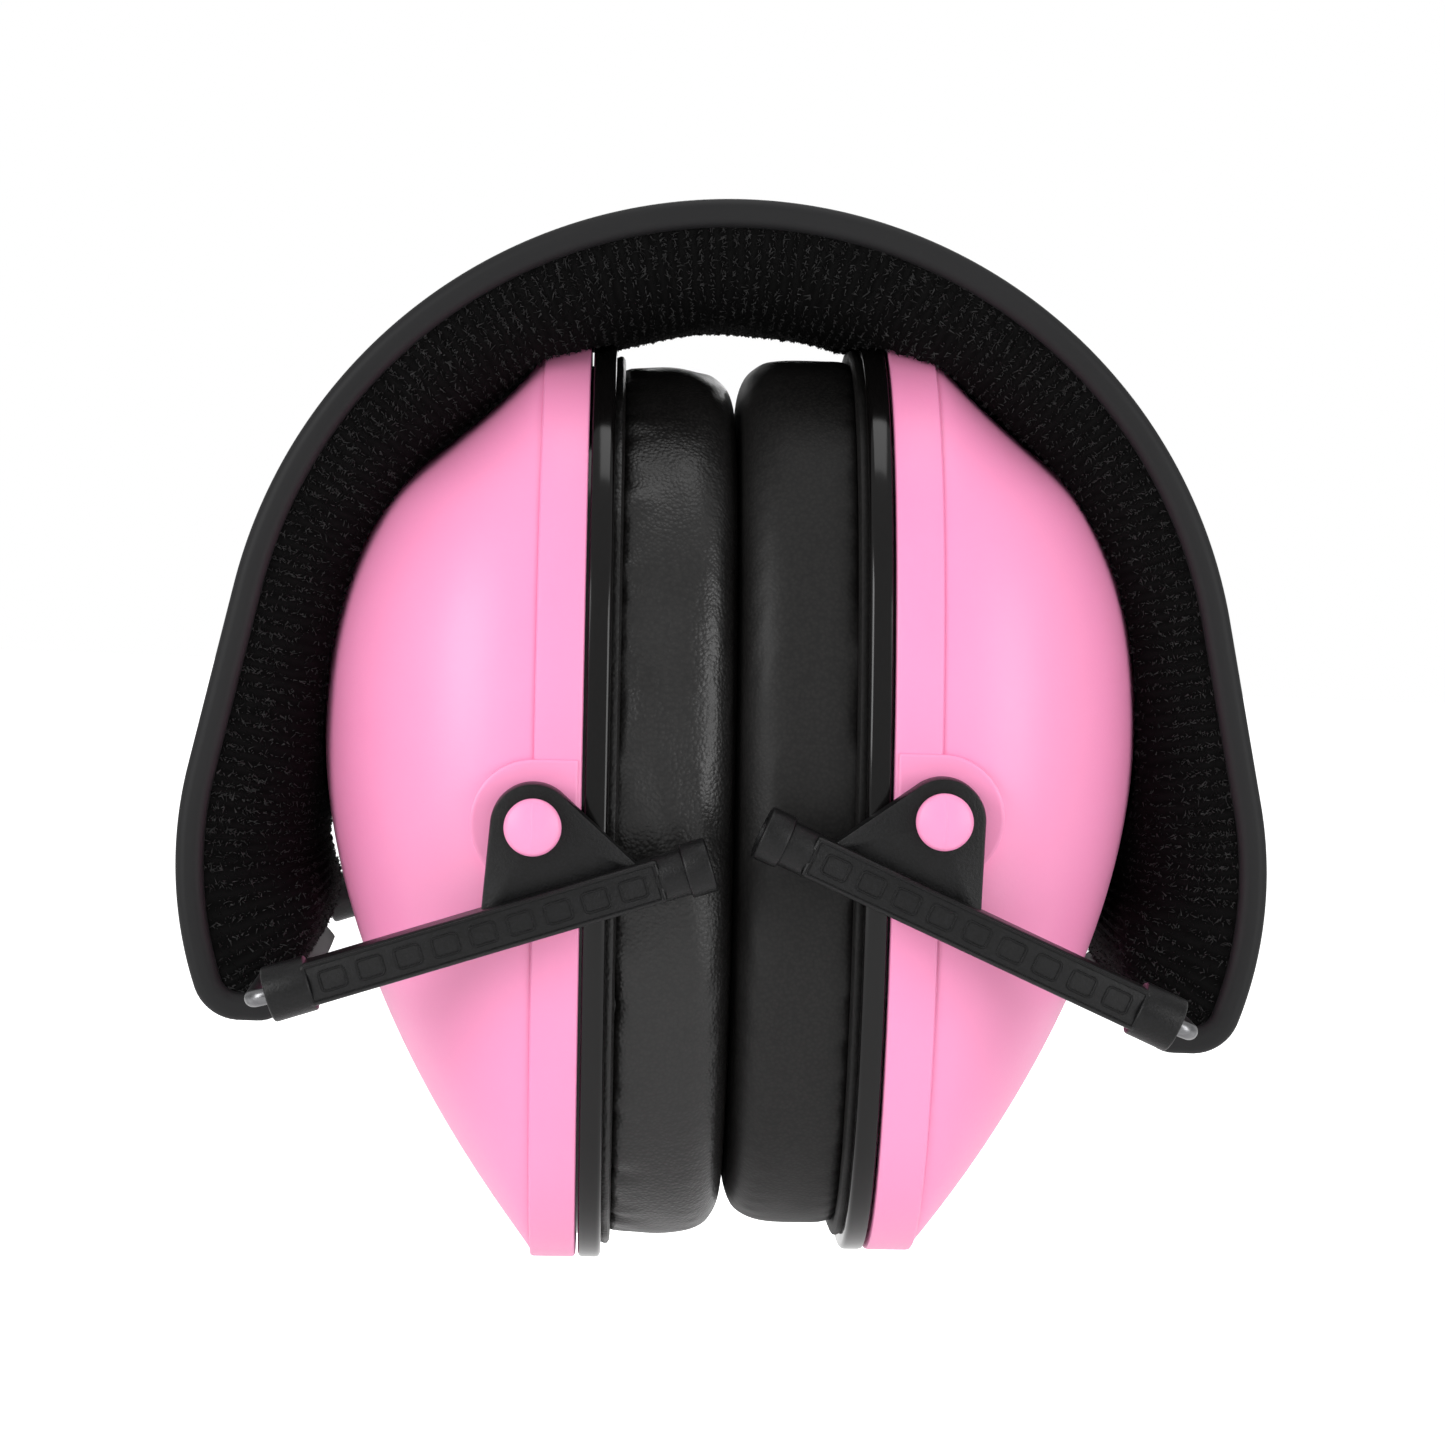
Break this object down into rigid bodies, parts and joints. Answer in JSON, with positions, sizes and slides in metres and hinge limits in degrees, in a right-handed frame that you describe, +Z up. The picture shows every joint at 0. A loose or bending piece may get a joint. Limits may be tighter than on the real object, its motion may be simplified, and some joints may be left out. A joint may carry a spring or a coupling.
{
  "type": "earmuff hearing protector",
  "caption": "Folding earmuff hearing protector with a padded headband, sprung wire arms, sliding yokes and two pink cups with soft ear cushions.",
  "frame": {"origin": "middle of the headband pad's underside at the crown, where the band rests on a head, a peg or a hook", "axes": "+Z up to the crown, +X across the headband towards the cup on the right as seen from the front, -Y the front"},
  "size_m": [0.1174, 0.0898, 0.118],
  "materials": {
    "band_vinyl": "soft matte vinyl skin, charcoal",
    "spring_steel": "rolled strip",
    "plush": "black looped plush knit",
    "foam": "open-cell polyurethane foam, dark grey",
    "black_nylon": "moulded with a fine spark texture, satin",
    "wire_steel": "bright drawn spring wire",
    "pink_plastic": "moulded pink, satin with a fine grain",
    "black_gloss": "polished black",
    "leatherette": "black leatherette, fine pebble grain"
  },
  "bodies": {
    "headband": {"headband_cover": "band_vinyl", "headband_spring": "spring_steel", "headband_foam": "foam", "headband_pad": "plush", "left_end_block": "black_nylon", "right_end_block": "black_nylon"},
    "left_wire": {"left_wire": "wire_steel"},
    "left_yokes": {"left_front_yoke": "black_nylon", "left_rear_yoke": "black_nylon"},
    "left_cup": {"left_cup_shell": "pink_plastic", "left_seal_plate": "black_gloss", "left_acoustic_foam": "foam", "left_ear_cushion": "leatherette", "left_cushion_foam": "foam", "left_cushion_base": "black_gloss", "left_front_pin": "pink_plastic", "left_rear_pin": "pink_plastic"},
    "right_wire": {"right_wire": "wire_steel"},
    "right_yokes": {"right_front_yoke": "black_nylon", "right_rear_yoke": "black_nylon"},
    "right_cup": {"right_cup_shell": "pink_plastic", "right_seal_plate": "black_gloss", "right_acoustic_foam": "foam", "right_ear_cushion": "leatherette", "right_cushion_foam": "foam", "right_cushion_base": "black_gloss", "right_front_pin": "pink_plastic", "right_rear_pin": "pink_plastic"}
  },
  "joints": [
    {"name": "left_fold", "type": "hinge", "parent": "headband", "child": "left_wire", "pos_m": [-0.04823, 0, -0.07227], "axis": [0, 1, 0], "range_deg": [0, 108], "deforming": ["left_ear_cushion", "left_cushion_foam"]},
    {"name": "left_slide", "type": "slide", "parent": "left_wire", "child": "left_yokes", "axis": [0.9474, 0, 0.3202], "range_m": [0, 0.02]},
    {"name": "left_cup_pivot", "type": "hinge", "parent": "left_yokes", "child": "left_cup", "pos_m": [-0.02018, 0, -0.0534], "axis": [0, 1, 0], "range_deg": [-108, 0]},
    {"name": "right_fold", "type": "hinge", "parent": "headband", "child": "right_wire", "pos_m": [0.04823, 0, -0.07227], "axis": [0, -1, 0], "range_deg": [0, 113], "deforming": ["right_ear_cushion", "right_cushion_foam"]},
    {"name": "right_slide", "type": "slide", "parent": "right_wire", "child": "right_yokes", "axis": [-0.9198, 0, 0.3924], "range_m": [0, 0.02]},
    {"name": "right_cup_pivot", "type": "hinge", "parent": "right_yokes", "child": "right_cup", "pos_m": [0.02178, 0, -0.05131], "axis": [0, -1, 0], "range_deg": [-113, 0]}
  ],
  "couplings": [
    {"joint": "left_slide", "follows": "left_fold", "m_per_rad": 0.01061},
    {"joint": "left_cup_pivot", "follows": "left_fold", "ratio": -1},
    {"joint": "right_slide", "follows": "right_fold", "m_per_rad": 0.010141},
    {"joint": "right_cup_pivot", "follows": "right_fold", "ratio": -1}
  ]
}
